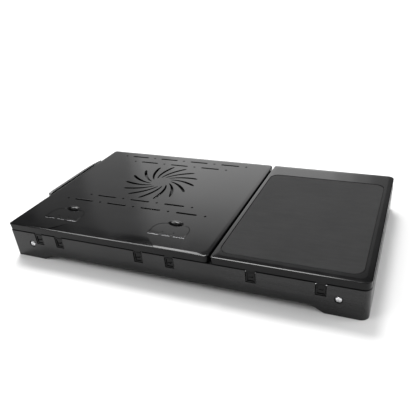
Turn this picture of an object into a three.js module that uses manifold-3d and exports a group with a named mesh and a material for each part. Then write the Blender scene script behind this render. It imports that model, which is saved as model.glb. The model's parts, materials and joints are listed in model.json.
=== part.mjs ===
// Laptop cooling table: a flat base with a tilting laptop panel over a fan, a lidded storage bin under
// a mouse mat, a side drawer and two folding leg frames. Millimetres, +Z up, -Y is the user's side.
// Everything is placed from the middle of the base; the group is shifted at the end so that the origin is
// the bottom centre of the whole object with its drawer standing a little open.
import * as THREE from "three";
import { mergeVertices } from "three/addons/utils/BufferGeometryUtils.js";
import Module from "manifold-3d";

const wasm = await Module();
wasm.setup();

// ---------- driving dimensions ----------
const LENGTH = 600;
const DEPTH = 335;
const HEIGHT = 63;
const RIM_Z = 49.5;
const PANEL_Z = 50.8;
const WALL = 2.6;
const SHEET = 2.4;
const CORNER_R = 12;
const LEFT_R = 5;
const ARCH_Z = 11;
const GAP = 0.3;
const HALF_L = LENGTH / 2;
const HALF_D = DEPTH / 2;
const CORNERS = [-1, 1].flatMap((sx) => [-1, 1].map((sy) => [sx, sy]));

const LAPTOP = { x0: -HALF_L + 0.5, x1: 69.5, edge: 5, leftR: 4.5, rightR: 8 };
const MOUSE = { x0: 73.5, x1: HALF_L - 0.5, edge: 9, leftR: 4, rightR: 11 };
const FAN = { x: -118, y: 43, gridR: 70.5, hubR: 19, slots: 15 };
const FAN_FRAME = { ringR: 71.5, boreR: 67.5, z0: 47.5, z1: 60.3, ear: 62, earThick: 4 };
const ROTOR = { hubR: 17.5, tipR: 65.5, z0: 51, z1: 59.4, blades: 9 };

const HINGE_Y = -HALF_D + 2.5;
const HINGE_Z = 47.5;
const PIN_HALF = 10.8;
const TAB = { width: 13, bottom: 30.5, slotWidth: 15.4, pinR: 1.1, boreR: 1.4, cheekWidth: 4.8 };
const LAPTOP_TABS = [-241, -200, -49.5, 5];
const MOUSE_TABS = [134.5, 234.5];

const STOP = { spread: 101, width: 64, back: -96.5, y: -130.5, z: 61.3, z0: 60.1, z1: 62.9, floorZ: 58.3 };
const STOP_PIN = { radius: 0.9, boreR: 1.15, over: 2.2 };
const STOP_LUG = { out: 10, width: 5, radius: 1.6, gap: 1.2 };
const STOP_GRIP = { y: -94, halfX: 13, halfY: 6.5, high: 4.6 };
const SCOOP = { left: 101, right: 98, slant: 24, back: -141, depth: 1.1 };
const PROP = { spread: 100, y: -15, z: 55.5, reach: 150, footZ: 49.5, rodR: 2.1, bend: 12 };
const PROP_TILTS = [14, 22, 30];
const DECK = { z0: 43.8, z1: 45.8, grooveDepth: 0.8 };
const LEDGE = { z0: 41.2, z1: 43.5, width: 10 };
const FOOT = { cornerX: 278, armX: 243, cornerY: 116, armY: 150 };
const INLET = { x: -250, width: 13, depth: 9.7, z0: 51.6, z1: 59.6 };

const PIVOT = { x: 259, z: 28, bossR: 9.2, shankR: 2.5, sink: 2.2, sinkR: 6 };
const LEG = { inner: 135, outer: 149, high: 18, length: 235, footLength: 10 };
const NUT = { from: 130.4, screwEnd: 129.8, radius: 5 };

const DRAWER = { out: 29.7, y0: -12, y1: 126, z0: 16.8, z1: 42.6, inner: -200, wall: 1.8 };
const DRAWER_FRONT = { thick: 8, y0: -27, y1: 147, z0: 14.6, z1: 47 };
const BIN = { x0: 84, x1: 286, halfY: 122, z0: 14.2, wall: 2 };
const MAT = { x0: 80, x1: 286.7, y0: -151.6, y1: 126.2, r: 16, thick: 1.3, recess: 1.9 };

// ---------- materials ----------
const finish = (color, roughness, metalness = 0) =>
  new THREE.MeshStandardMaterial({ color, roughness, metalness });
const GLOSS_BLACK = finish(0x1c1c1d, 0.22);
const SATIN_BLACK = finish(0x232324, 0.5);
const INNER_BLACK = finish(0x19191a, 0.6);
const MAT_GREY = finish(0x3a3a3b, 0.95);
const RUBBER_BLACK = finish(0x141414, 0.85);
const BRIGHT_STEEL = finish(0xc9ccd0, 0.25, 1);
const COPPER_MOTOR = finish(0x8a5a34, 0.4, 0.8);

// ---------- shape and solid helpers ----------
const toSolid = (geometry) => {
  const plain = geometry.index ? geometry.toNonIndexed() : geometry.clone();
  plain.deleteAttribute("normal");
  plain.deleteAttribute("uv");
  const merged = mergeVertices(plain, 1e-4);
  return new wasm.Manifold(
    new wasm.Mesh({
      numProp: 3,
      vertProperties: new Float32Array(merged.attributes.position.array),
      triVerts: new Uint32Array(merged.index.array),
    }),
  );
};

const toGeometry = (solid) => {
  const mesh = solid.getMesh();
  const geometry = new THREE.BufferGeometry();
  geometry.setAttribute("position", new THREE.BufferAttribute(mesh.vertProperties, 3));
  geometry.setIndex(new THREE.BufferAttribute(mesh.triVerts, 1));
  const flat = geometry.toNonIndexed();
  flat.computeVertexNormals();
  return flat;
};

// A block between two values along each axis, in either order.
const block = (x0, x1, y0, y1, z0, z1) => {
  const box = new THREE.BoxGeometry(Math.abs(x1 - x0), Math.abs(y1 - y0), Math.abs(z1 - z0));
  return toSolid(box.translate((x0 + x1) / 2, (y0 + y1) / 2, (z0 + z1) / 2));
};

// A round bar between two values along one axis; at holds the other two coordinates in X, Y, Z order.
const rod = (axis, at, from, to, radius, sides = 16) => {
  const bar = new THREE.CylinderGeometry(radius, radius, Math.abs(to - from), sides);
  const middle = (from + to) / 2;
  if (axis === "x") bar.rotateZ(Math.PI / 2).translate(middle, at[0], at[1]);
  if (axis === "y") bar.translate(at[0], middle, at[1]);
  if (axis === "z") bar.rotateX(Math.PI / 2).translate(at[0], at[1], middle);
  return toSolid(bar);
};

// An upright rectangle with round corners; its left corners may be rounder or sharper than its right ones.
const roundedRect = (x0, x1, y0, y1, rightR, leftR = rightR) => {
  const shape = new THREE.Shape();
  shape.moveTo(x0 + leftR, y0);
  shape.lineTo(x1 - rightR, y0);
  shape.absarc(x1 - rightR, y0 + rightR, rightR, -Math.PI / 2, 0, false);
  shape.lineTo(x1, y1 - rightR);
  shape.absarc(x1 - rightR, y1 - rightR, rightR, 0, Math.PI / 2, false);
  shape.lineTo(x0 + leftR, y1);
  shape.absarc(x0 + leftR, y1 - leftR, leftR, Math.PI / 2, Math.PI, false);
  shape.lineTo(x0, y0 + leftR);
  shape.absarc(x0 + leftR, y0 + leftR, leftR, Math.PI, Math.PI * 1.5, false);
  return shape;
};

const extruded = (shape, depth, curveSegments) =>
  new THREE.ExtrudeGeometry(shape, { depth, bevelEnabled: false, curveSegments });

const extrudeUp = (shape, z0, z1, curveSegments = 5) =>
  toSolid(extruded(shape, z1 - z0, curveSegments).translate(0, 0, z0));

// The shape is drawn in X and Z, and runs between two values of Y, in either order.
const extrudeAlongY = (shape, y0, y1, curveSegments = 8) => {
  const bar = extruded(shape, Math.abs(y1 - y0), curveSegments);
  return toSolid(bar.rotateX(Math.PI / 2).translate(0, Math.max(y0, y1), 0));
};

// The shape is drawn in Y and Z, and runs from x0 to x1.
const extrudeAlongX = (shape, x0, x1, curveSegments = 8) => {
  const bar = extruded(shape, x1 - x0, curveSegments);
  return toSolid(bar.rotateX(Math.PI / 2).rotateZ(Math.PI / 2).translate(x0, 0, 0));
};

// A closed skin over a row of rings, each a loop of the same number of points; its ends are flat.
const loft = (rings) => {
  const count = rings[0].length;
  const index = [];
  for (let ring = 0; ring < rings.length - 1; ring++) {
    for (let i = 0; i < count; i++) {
      const a = ring * count + i;
      const b = ring * count + ((i + 1) % count);
      index.push(a, b, b + count, a, b + count, a + count);
    }
  }
  const top = (rings.length - 1) * count;
  for (let i = 1; i < count - 1; i++) {
    index.push(0, i + 1, i);
    index.push(top, top + i, top + i + 1);
  }
  const geometry = new THREE.BufferGeometry();
  geometry.setAttribute("position", new THREE.Float32BufferAttribute(rings.flat(2), 3));
  geometry.setIndex(index);
  return toSolid(geometry);
};

// The outline of a panel at one height, drawn in by an inset, as a ring of points for loft.
const panelRing = ({ x0, x1, leftR, rightR }, inset, z) => {
  const steps = 3;
  const outline = roundedRect(
    x0 + inset,
    x1 - inset,
    -HALF_D + inset,
    HALF_D - inset,
    Math.max(rightR - inset, 0.8),
    Math.max(leftR - inset, 0.8),
  );
  return outline
    .getPoints(steps)
    .filter((p, i, all) => i === 0 || p.distanceTo(all[i - 1]) > 1e-6)
    .slice(0, 4 * (2 * steps + 1))
    .map((p) => [p.x, p.y, z]);
};

// A round wire along a row of points that lie in one plane, whose normal is across.
const wire = (points, across, radius, sides = 10) =>
  loft(
    points.map((point, i) => {
      const before = points[Math.max(i - 1, 0)];
      const after = points[Math.min(i + 1, points.length - 1)];
      const run = new THREE.Vector3().subVectors(after, before);
      const side = new THREE.Vector3().crossVectors(across, run).normalize();
      return Array.from({ length: sides }, (_, k) => {
        const turn = (k / sides) * Math.PI * 2;
        return point
          .clone()
          .addScaledVector(side, radius * Math.cos(turn))
          .addScaledVector(across, radius * Math.sin(turn))
          .toArray();
      });
    }),
  );

const joined = (...solids) => solids.reduce((all, next) => all.add(next));
const cut = (body, ...tools) => tools.reduce((left, tool) => left.subtract(tool), body);

const table = new THREE.Group();

const place = (name, solid, material) => {
  const mesh = new THREE.Mesh(toGeometry(solid), material);
  mesh.name = name;
  table.add(mesh);
  return mesh;
};

// ---------- base ----------
// The foot of a wall: it stands on the ground at both ends and is raised between them.
const archCutter = (footIn) => {
  const shape = new THREE.Shape();
  shape.moveTo(-footIn, -1);
  shape.lineTo(footIn, -1);
  shape.lineTo(footIn, 0);
  shape.lineTo(footIn - 12, 7);
  shape.quadraticCurveTo(footIn - 20, ARCH_Z, footIn - 32, ARCH_Z);
  shape.lineTo(-footIn + 32, ARCH_Z);
  shape.quadraticCurveTo(-footIn + 20, ARCH_Z, -footIn + 12, 7);
  shape.lineTo(-footIn, 0);
  return shape;
};

const baseShell = () => {
  const inset = (by) =>
    roundedRect(-HALF_L + by, HALF_L - by, -HALF_D + by, HALF_D - by, CORNER_R - by, LEFT_R - by);
  const outline = inset(0);
  outline.holes.push(inset(WALL));
  const ledge = inset(1);
  const lip = WALL + LEDGE.width;
  ledge.holes.push(roundedRect(-HALF_L + lip, HALF_L - lip, -HALF_D + lip + 8, HALF_D - lip, 4));
  let body = joined(
    extrudeUp(outline, 0, RIM_Z),
    extrudeUp(ledge, LEDGE.z0, LEDGE.z1),
    block(69, 74, -HALF_D + 1, HALF_D - 1, LEDGE.z0, RIM_Z),
    block(62, 81, -HALF_D + 20, HALF_D - 10, LEDGE.z0, LEDGE.z1),
  );
  const archX = extrudeAlongY(archCutter(240), -HALF_D - 1, HALF_D + 1);
  const archY = extrudeAlongX(archCutter(112), -HALF_L - 1, HALF_L + 1);
  body = cut(body, archX, archY);
  // an L of sheet closes each foot, and a boss carries each leg pivot
  for (const [sx, sy] of CORNERS) {
    const inX = sx * (HALF_L - CORNER_R);
    const inY = sy * (HALF_D - CORNER_R);
    const outX = sx * (HALF_L - 1);
    const outY = sy * (HALF_D - 1);
    body = joined(
      body,
      block(sx * FOOT.cornerX, inX, sy * FOOT.cornerY, outY, 0, SHEET),
      block(sx * FOOT.armX, inX, sy * FOOT.armY, outY, 0, SHEET),
      block(sx * FOOT.cornerX, outX, sy * FOOT.cornerY, inY, 0, SHEET),
      rod("y", [sx * PIVOT.x, PIVOT.z], sy * (LEG.outer + 0.6), outY, PIVOT.bossR, 24),
    );
  }
  // each hinge tab has a cheek on both sides for its pin, and a slot between them
  const slotHalf = TAB.slotWidth / 2;
  for (const x of [...LAPTOP_TABS, ...MOUSE_TABS]) {
    for (const side of [-1, 1]) {
      const cheek = x + side * (slotHalf - 0.5);
      const cheekEnd = cheek + side * TAB.cheekWidth;
      body = joined(body, block(cheek, cheekEnd, HINGE_Y - 1, HINGE_Y + 3.5, LEDGE.z1 - 0.5, RIM_Z));
    }
  }
  for (const x of [...LAPTOP_TABS, ...MOUSE_TABS]) {
    body = cut(
      body,
      block(x - slotHalf, x + slotHalf, -HALF_D - 1, -HALF_D + 21, TAB.bottom - 1, RIM_Z + 1),
      rod("x", [HINGE_Y, HINGE_Z], x - PIN_HALF - 0.4, x + PIN_HALF + 0.4, TAB.boreR, 10),
    );
  }
  for (const [sx, sy] of CORNERS) {
    const pivot = [sx * PIVOT.x, PIVOT.z];
    const out = sy * (HALF_D + 1);
    body = cut(
      body,
      rod("y", pivot, sy * (HALF_D - PIVOT.sink), out, PIVOT.sinkR, 24),
      rod("y", pivot, sy * LEG.inner, out, PIVOT.shankR + GAP, 16),
    );
  }
  const [mouthFront, mouthRear] = [DRAWER.y0 - 1.2, DRAWER.y1 + 1.2];
  return cut(body, block(-HALF_L - 1, -HALF_L + 20, mouthFront, mouthRear, 15.6, DECK.z0));
};

const laptopDeck = () => {
  const x0 = -HALF_L + WALL + GAP;
  const x1 = 69 - GAP;
  const yIn = HALF_D - WALL - GAP;
  let plate = extrudeUp(roundedRect(x0, x1, -yIn + 20, yIn, 9), DECK.z0, DECK.z1);
  const well = 78;
  const opening = roundedRect(FAN.x - well, FAN.x + well, FAN.y - well, FAN.y + well, 10);
  plate = cut(plate, extrudeUp(opening, DECK.z0 - 1, DECK.z1 + 1));
  // grooves that hold the prop's foot, one for each working tilt
  for (const tilt of PROP_TILTS) {
    const y = HINGE_Y + 2 * PROP.reach * Math.cos(THREE.MathUtils.degToRad(tilt + 2.7));
    for (const side of [-1, 1]) {
      const x = FAN.x + side * 88;
      plate = cut(plate, block(x - 9, x + 9, y - 2, y + 2, DECK.z1 - DECK.grooveDepth, DECK.z1 + 1));
    }
  }
  return plate;
};

const storageBin = () => {
  const rearIn = HALF_D - WALL - GAP;
  const flange = roundedRect(74 + GAP, HALF_L - WALL - GAP, -rearIn + 20, rearIn, 9);
  const outer = extrudeUp(roundedRect(BIN.x0, BIN.x1, -BIN.halfY, BIN.halfY, 14), BIN.z0, DECK.z1);
  const w = BIN.wall;
  const inner = roundedRect(BIN.x0 + w, BIN.x1 - w, -BIN.halfY + w, BIN.halfY - w, 12);
  return cut(joined(extrudeUp(flange, DECK.z0, DECK.z1), outer), extrudeUp(inner, BIN.z0 + w, DECK.z1 + 1));
};

const drawerRail = (side) => {
  const wallY = side < 0 ? DRAWER.y0 - 1 : DRAWER.y1 + 1;
  const [x0, x1, z0] = [-HALF_L + WALL + GAP, DRAWER.inner - 4, DRAWER.z0 - 2.6];
  return joined(
    block(x0, x1, wallY, wallY + side * 2.2, z0, LEDGE.z0 - GAP),
    block(x0, x1, wallY - side * 6, wallY + side, z0, DRAWER.z0 - 0.4),
  );
};

const legScrew = (sx, sy) => {
  const profile = [
    [0, 0],
    [4.7, 0],
    [4.7, 0.7],
    [3.9, 1.7],
    [2.4, 2.2],
    [0, 2.35],
  ].map(([r, h]) => new THREE.Vector2(r, h));
  const headBase = HALF_D - PIVOT.sink + GAP;
  const head = new THREE.LatheGeometry(profile, 20);
  if (sy < 0) head.rotateX(Math.PI);
  head.translate(sx * PIVOT.x, sy * headBase, PIVOT.z);
  const x = sx * PIVOT.x;
  const shank = rod("y", [x, PIVOT.z], sy * NUT.screwEnd, sy * (headBase + 0.5), PIVOT.shankR, 14);
  const [arm, blade] = [2.6, 0.45];
  const [deep, out] = [sy * (headBase + 1.2), sy * (headBase + 3)];
  return cut(
    joined(toSolid(head), shank),
    block(x - arm, x + arm, deep, out, PIVOT.z - blade, PIVOT.z + blade),
    block(x - blade, x + blade, deep, out, PIVOT.z - arm, PIVOT.z + arm),
  );
};

const legNut = (sx, sy) => {
  const at = [sx * PIVOT.x, PIVOT.z];
  const end = LEG.inner - 0.6;
  return cut(
    rod("y", at, sy * NUT.from, sy * end, NUT.radius, 6),
    rod("y", at, sy * (NUT.from - 1), sy * (end + 1), PIVOT.shankR + GAP, 14),
  );
};

const hingePin = (x) => rod("x", [HINGE_Y, HINGE_Z], x - PIN_HALF, x + PIN_HALF, TAB.pinR, 10);

// ---------- panels ----------
// Panel lid: a shallow dish upside down, whose top edge falls away in a soft bevel.
const panelShell = (panel) => {
  const { x0, x1, edge, leftR, rightR } = panel;
  const profile = [
    [0, PANEL_Z],
    [0, HEIGHT - 2.6],
    [0.5, HEIGHT - 1.7],
    [1.6, HEIGHT - 1],
    [edge * 0.6, HEIGHT - 0.4],
    [edge, HEIGHT],
  ];
  const outer = loft(profile.map(([inset, z]) => panelRing(panel, inset, z)));
  const hollow = roundedRect(
    x0 + SHEET,
    x1 - SHEET,
    -HALF_D + SHEET,
    HALF_D - SHEET,
    rightR - SHEET,
    leftR - SHEET,
  );
  return cut(outer, extrudeUp(hollow, PANEL_Z - 1, HEIGHT - SHEET));
};

// A hinge tab hangs from the panel's front wall into its slot in the base, with a raised catch on its face.
const hingeTab = (x) => {
  const half = TAB.width / 2;
  const tab = joined(
    block(x - half, x + half, -HALF_D + 0.9, HINGE_Y + 1.9, TAB.bottom, PANEL_Z + 2),
    rod("x", [HINGE_Y, HINGE_Z], x - half, x + half, 2.2, 14),
    block(x - 3, x + 3, -HALF_D + 0.2, -HALF_D + 1.2, 38, 43.5),
  );
  return cut(tab, rod("x", [HINGE_Y, HINGE_Z], x - half - 1, x + half + 1, TAB.boreR, 10));
};

// One curved slot of the fan grille: its line winds in towards the hub as a logarithmic spiral and narrows.
const grilleSlot = (turn) => {
  const steps = 5;
  const wind = THREE.MathUtils.degToRad(32);
  const point = (t, side) => {
    const r = FAN.hubR + (FAN.gridR - FAN.hubR) * t;
    const halfWidth = side * (0.8 + 1.9 * Math.sin(t * 2.3)) * (t > 0.99 ? 0.55 : 1);
    const angle = turn + wind * Math.log(FAN.gridR / r) + halfWidth / r;
    return new THREE.Vector2(FAN.x + r * Math.cos(angle), FAN.y + r * Math.sin(angle));
  };
  const ts = Array.from({ length: steps + 1 }, (_, i) => i / steps);
  const outline = [...ts.map((t) => point(t, -1)), ...ts.reverse().map((t) => point(t, 1))];
  return extrudeUp(new THREE.Shape(outline), HEIGHT - SHEET - 1, HEIGHT + 1);
};

// Rows of long and round vents, mirrored in front of and behind the fan.
const VENT_ROWS = [
  [80, 3],
  [103, 4],
];
const ventRows = () => {
  const pitch = 69;
  const z0 = HEIGHT - SHEET - 1;
  const cutters = [];
  for (const [offset, dashes] of VENT_ROWS) {
    for (const side of [-1, 1]) {
      const y = FAN.y + side * offset;
      for (let i = 0; i < dashes; i++) {
        const x = FAN.x + (i - (dashes - 1) / 2) * pitch;
        const dash = roundedRect(x - 19, x + 19, y - 1.9, y + 1.9, 1.8);
        cutters.push(extrudeUp(dash, z0, HEIGHT + 1, 2));
      }
      for (let i = 0; i <= dashes; i++) {
        const x = FAN.x + (i - dashes / 2) * pitch;
        cutters.push(rod("z", [x, y], z0, HEIGHT + 1, 1.7, 8));
      }
    }
  }
  return cutters;
};

// The D of a laptop stop from its straight front to its round back, with a lobe under its finger grip.
const stopSlab = (x, front, grow, z0, z1) => {
  const half = STOP.width / 2 + grow;
  const back = STOP.back + grow;
  const shape = new THREE.Shape();
  shape.moveTo(x - half, front);
  shape.lineTo(x + half, front);
  shape.lineTo(x + half, back - 20);
  shape.quadraticCurveTo(x + half, back, x + half - 22, back);
  shape.lineTo(x - half + 22, back);
  shape.quadraticCurveTo(x - half, back, x - half, back - 20);
  const lobe = new THREE.Shape();
  lobe.absellipse(x, STOP_GRIP.y, STOP_GRIP.halfX + grow, STOP_GRIP.halfY + grow, 0, Math.PI * 2);
  return joined(extrudeUp(shape, z0, z1), extrudeUp(lobe, z0, z1, 10));
};

// The shallow scoop along the front edge gives the fingers a hold.
const scoopCutter = () => {
  const outline = new THREE.Shape();
  outline.moveTo(FAN.x - SCOOP.left, -HALF_D + 3);
  outline.lineTo(FAN.x + SCOOP.right, -HALF_D + 3);
  outline.lineTo(FAN.x + SCOOP.right - SCOOP.slant, SCOOP.back);
  outline.lineTo(FAN.x - SCOOP.left + SCOOP.slant, SCOOP.back);
  const over = HEIGHT + 2;
  const wedge = new THREE.Shape();
  wedge.moveTo(-HALF_D - 1, HEIGHT - SCOOP.depth);
  wedge.lineTo(SCOOP.back, HEIGHT);
  wedge.lineTo(SCOOP.back, over);
  wedge.lineTo(-HALF_D - 1, over);
  const slope = extrudeAlongX(wedge, FAN.x - SCOOP.left - 1, FAN.x + SCOOP.right + 1);
  return extrudeUp(outline, HEIGHT - SCOOP.depth - 0.1, over).intersect(slope);
};

const laptopPanel = () => {
  let panel = panelShell(LAPTOP);
  for (const x of LAPTOP_TABS) panel = joined(panel, hingeTab(x));
  for (const side of [-1, 1]) {
    const x = FAN.x + side * STOP.spread;
    const bore = STOP.width / 2 + STOP_PIN.over + 0.4;
    const front = STOP.y - STOP_LUG.radius - GAP;
    panel = joined(panel, stopSlab(x, front - 3, 3.4, STOP.floorZ - 2, HEIGHT - 1));
    panel = cut(
      panel,
      stopSlab(x, front, 0.5, STOP.floorZ, HEIGHT + 1),
      rod("x", [STOP.y, STOP.z], x - bore, x + bore, STOP_PIN.boreR, 10),
    );
  }
  panel = cut(panel, scoopCutter(), ...ventRows());
  for (let i = 0; i < FAN.slots; i++) {
    panel = cut(panel, grilleSlot(THREE.MathUtils.degToRad((i * 360) / FAN.slots - 1)));
  }
  return cut(panel, block(INLET.x - 4.5, INLET.x + 4.5, HALF_D - 4, HALF_D + 1, 53, 58));
};

const mousePanel = () => {
  let panel = panelShell(MOUSE);
  for (const x of MOUSE_TABS) panel = joined(panel, hingeTab(x));
  const recess = roundedRect(MAT.x0, MAT.x1, MAT.y0, MAT.y1, MAT.r);
  const under = HEIGHT - SHEET;
  const backing = block(MAT.x0 - 3, MAT.x1 + 3, MAT.y0 - 3, MAT.y1 + 3, under - 1.8, under + 0.2);
  return cut(joined(panel, backing), extrudeUp(recess, HEIGHT - MAT.recess, HEIGHT + 1, 8));
};

const mouseMat = () => {
  const shape = roundedRect(MAT.x0 + 0.6, MAT.x1 - 0.6, MAT.y0 + 0.6, MAT.y1 - 0.6, MAT.r - 0.6);
  const z0 = HEIGHT - MAT.recess + GAP;
  return extrudeUp(shape, z0, z0 + MAT.thick, 8);
};

// A flap that turns on two lugs around its pin, with a domed finger grip over its free end.
const laptopStop = (x) => {
  const hinge = [STOP.y, STOP.z];
  const { halfX, halfY, high, y } = STOP_GRIP;
  const dome = new THREE.SphereGeometry(1, 20, 12).scale(halfX - 0.5, halfY - 0.5, high);
  const overFlap = block(x - halfX, x + halfX, y - halfY, y + halfY, STOP.z, HEIGHT + 9);
  const flap = stopSlab(x, STOP.y + STOP_LUG.gap, 0, STOP.z0, STOP.z1);
  let stop = joined(flap, toSolid(dome.translate(x, y, HEIGHT - 0.4)).intersect(overFlap));
  for (const side of [-1, 1]) {
    const from = x + side * STOP_LUG.out - STOP_LUG.width / 2;
    const to = from + STOP_LUG.width;
    stop = joined(
      stop,
      rod("x", hinge, from, to, STOP_LUG.radius, 20),
      block(from, to, STOP.y, STOP.y + STOP_LUG.gap + 1, STOP.z0, STOP.z1),
    );
  }
  const reach = STOP.width / 2 + 1;
  return cut(stop, rod("x", hinge, x - reach, x + reach, STOP_PIN.boreR, 10));
};

const stopPin = (x) => {
  const reach = STOP.width / 2 + STOP_PIN.over;
  return rod("x", [STOP.y, STOP.z], x - reach, x + reach, STOP_PIN.radius, 8);
};

// ---------- fan ----------
const fanFrame = () => {
  const { ringR, boreR, z0, z1, ear, earThick } = FAN_FRAME;
  let frame = rod("z", [FAN.x, FAN.y], z0, z1, ringR, 40);
  for (const [sx, sy] of CORNERS) {
    const [x, y] = [FAN.x + sx * ear, FAN.y + sy * ear];
    frame = joined(
      frame,
      rod("z", [x, y], z1 - earThick, z1, 8, 14),
      block(FAN.x + sx * 45, x, FAN.y + sy * 45, y, z1 - earThick, z1),
    );
  }
  frame = cut(frame, rod("z", [FAN.x, FAN.y], z0 - 1, z1 + 1, boreR, 40));
  frame = joined(
    frame,
    rod("z", [FAN.x, FAN.y], z0, z0 + 2, 19, 24),
    block(FAN.x - boreR - 1, FAN.x + boreR + 1, FAN.y - 3, FAN.y + 3, z0, z0 + 2),
    block(FAN.x - 3, FAN.x + 3, FAN.y - boreR - 1, FAN.y + boreR + 1, z0, z0 + 2),
  );
  for (const [sx, sy] of CORNERS) {
    frame = cut(frame, rod("z", [FAN.x + sx * ear, FAN.y + sy * ear], z1 - 6, z1 + 1, 1.9, 10));
  }
  return frame;
};

const fanScrew = (sx, sy) => {
  const at = [FAN.x + sx * FAN_FRAME.ear, FAN.y + sy * FAN_FRAME.ear];
  const under = FAN_FRAME.z1 - FAN_FRAME.earThick;
  return joined(
    rod("z", at, under - 1.9, under - GAP, 3.4, 14),
    rod("z", at, under - 0.5, FAN_FRAME.z1 - 0.1, 1.5, 10),
  );
};

const fanStator = () => {
  const z0 = FAN_FRAME.z0 + 2 + GAP;
  let stator = joined(
    rod("z", [FAN.x, FAN.y], z0, z0 + 0.9, 15, 20),
    rod("z", [FAN.x, FAN.y], z0, z0 + 5.6, 3.2, 12),
  );
  for (let i = 0; i < 4; i++) {
    const pole = new THREE.BoxGeometry(9, 4, 3).translate(6.5, 0, 0).rotateZ((i * Math.PI) / 2 + 0.4);
    stator = joined(stator, toSolid(pole.translate(FAN.x, FAN.y, z0 + 3)));
  }
  return stator;
};

const fanRotor = () => {
  const { hubR, tipR, z0, z1, blades } = ROTOR;
  let rotor = rod("z", [FAN.x, FAN.y], z0, z1, hubR, 28);
  const middle = (z0 + z1) / 2;
  for (let i = 0; i < blades; i++) {
    const turn = (i / blades) * Math.PI * 2;
    const blade = new THREE.BoxGeometry(tipR - hubR + 3, 11, 1.5)
      .rotateX(THREE.MathUtils.degToRad(32))
      .translate((tipR + hubR) / 2 - 1.5, 0, 0)
      .rotateZ(turn)
      .translate(FAN.x, FAN.y, middle);
    rotor = joined(rotor, toSolid(blade));
  }
  rotor = rotor.intersect(rod("z", [FAN.x, FAN.y], z0, z1, tipR, 40));
  return cut(rotor, rod("z", [FAN.x, FAN.y], z0 - 1, z1 - 1.4, hubR - 1.4, 24));
};

const powerInlet = () => {
  const { x, width, depth, z0, z1 } = INLET;
  const face = HALF_D - SHEET - GAP;
  const shell = block(x - width / 2, x + width / 2, face - depth, face, z0, z1);
  return cut(shell, block(x - 4, x + 4, face - depth + 2.5, HALF_D, z0 + 1.8, z1 - 2));
};

// The lead from the fan's rim to the power inlet, clipped under the laptop panel.
const leadRoute = [
  [FAN.x - 62, FAN.y + 70.4, 58.2],
  [FAN.x - 64, FAN.y + 82, 58],
  [FAN.x - 84, FAN.y + 96, 57.6],
  [FAN.x - 108, FAN.y + 98, 56.6],
  [FAN.x - 126, FAN.y + 102, 55.8],
  [FAN.x - 132, FAN.y + 108, 55.5],
  [FAN.x - 132, FAN.y + 111.2, 55.5],
];

const fanLead = () => {
  const route = new THREE.CatmullRomCurve3(leadRoute.map((p) => new THREE.Vector3(...p)));
  const section = new THREE.Shape();
  section.absarc(0, 0, 1.4, 0, Math.PI * 2, false);
  const along = { steps: 20, curveSegments: 4, bevelEnabled: false, extrudePath: route };
  return toSolid(new THREE.ExtrudeGeometry(section, along));
};

// ---------- prop ----------
// A wire bail: two arms hinged under the laptop panel, joined by a foot bar that slides along the deck.
const propBail = () => {
  const drop = (PROP.footZ - PROP.z) / PROP.reach;
  const left = FAN.x - PROP.spread;
  const right = FAN.x + PROP.spread;
  const at = (x, along) => new THREE.Vector3(x, PROP.y + along, PROP.z + drop * along);
  const turn = (...corner) => new THREE.QuadraticBezierCurve3(...corner).getPoints(4);
  const { reach, bend } = PROP;
  const points = [
    at(left - 9, 0),
    ...turn(at(left - 3, 0), at(left, 0), at(left, 3)),
    ...turn(at(left, reach - bend), at(left, reach), at(left + bend, reach)),
    ...turn(at(right - bend, reach), at(right, reach), at(right, reach - bend)),
    ...turn(at(right, 3), at(right, 0), at(right + 3, 0)),
    at(right + 9, 0),
  ];
  return wire(points, new THREE.Vector3(0, -drop, 1).normalize(), PROP.rodR);
};

const propSleeve = (side) => {
  const y = PROP.y + PROP.reach;
  const at = (out) => FAN.x + side * out;
  return cut(
    rod("x", [y, PROP.footZ], at(80), at(86), PROP.rodR + 1.1, 14),
    rod("x", [y, PROP.footZ], at(79), at(87), PROP.rodR + 0.25, 14),
  );
};

const propClip = (side) => {
  const at = (out) => FAN.x + side * (PROP.spread + out);
  return cut(
    block(at(3.6), at(11), PROP.y - 6, PROP.y + 6, 51.8, HEIGHT - SHEET - GAP),
    rod("x", [PROP.y, PROP.z], at(2.6), at(12), PROP.rodR + GAP, 14),
  );
};

// ---------- drawer ----------
const drawerBox = () => {
  const x0 = -HALF_L - DRAWER.out + GAP;
  const { y0, y1, z0, z1, inner, wall } = DRAWER;
  const hollow = block(x0 + wall, inner - wall, y0 + wall, y1 - wall, z0 + wall, z1 + 1);
  const divider = block(x0 + 1, inner - 1, 44, 45.6, z0 + 1, z1 - 8);
  return joined(cut(block(x0, inner, y0, y1, z0, z1), hollow), divider);
};

const drawerFront = () => {
  const x1 = -HALF_L - DRAWER.out;
  const { thick, y0, y1, z0, z1 } = DRAWER_FRONT;
  const shape = new THREE.Shape();
  shape.moveTo(x1, y0);
  shape.lineTo(x1, y1);
  shape.quadraticCurveTo(x1 - thick, y1 - 1, x1 - thick, y1 - 18);
  shape.lineTo(x1 - thick, y0 + 12);
  shape.quadraticCurveTo(x1 - thick, y0 + 1, x1 - 5, y0);
  return extrudeUp(shape, z0, z1, 6);
};

// ---------- legs ----------
const legArm = (sx, sy) => {
  const half = LEG.high / 2;
  const x = sx * PIVOT.x;
  const shape = new THREE.Shape();
  const end = x - sx * LEG.length;
  shape.moveTo(x, PIVOT.z - half);
  shape.absarc(x, PIVOT.z, half, -Math.PI / 2, Math.PI / 2, sx < 0);
  shape.lineTo(end, PIVOT.z + half);
  shape.lineTo(end, PIVOT.z - half);
  return cut(
    extrudeAlongY(shape, sy * LEG.inner, sy * LEG.outer),
    rod("y", [x, PIVOT.z], sy * (LEG.inner - 1), sy * (LEG.outer + 1), PIVOT.shankR + GAP, 14),
  );
};

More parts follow.
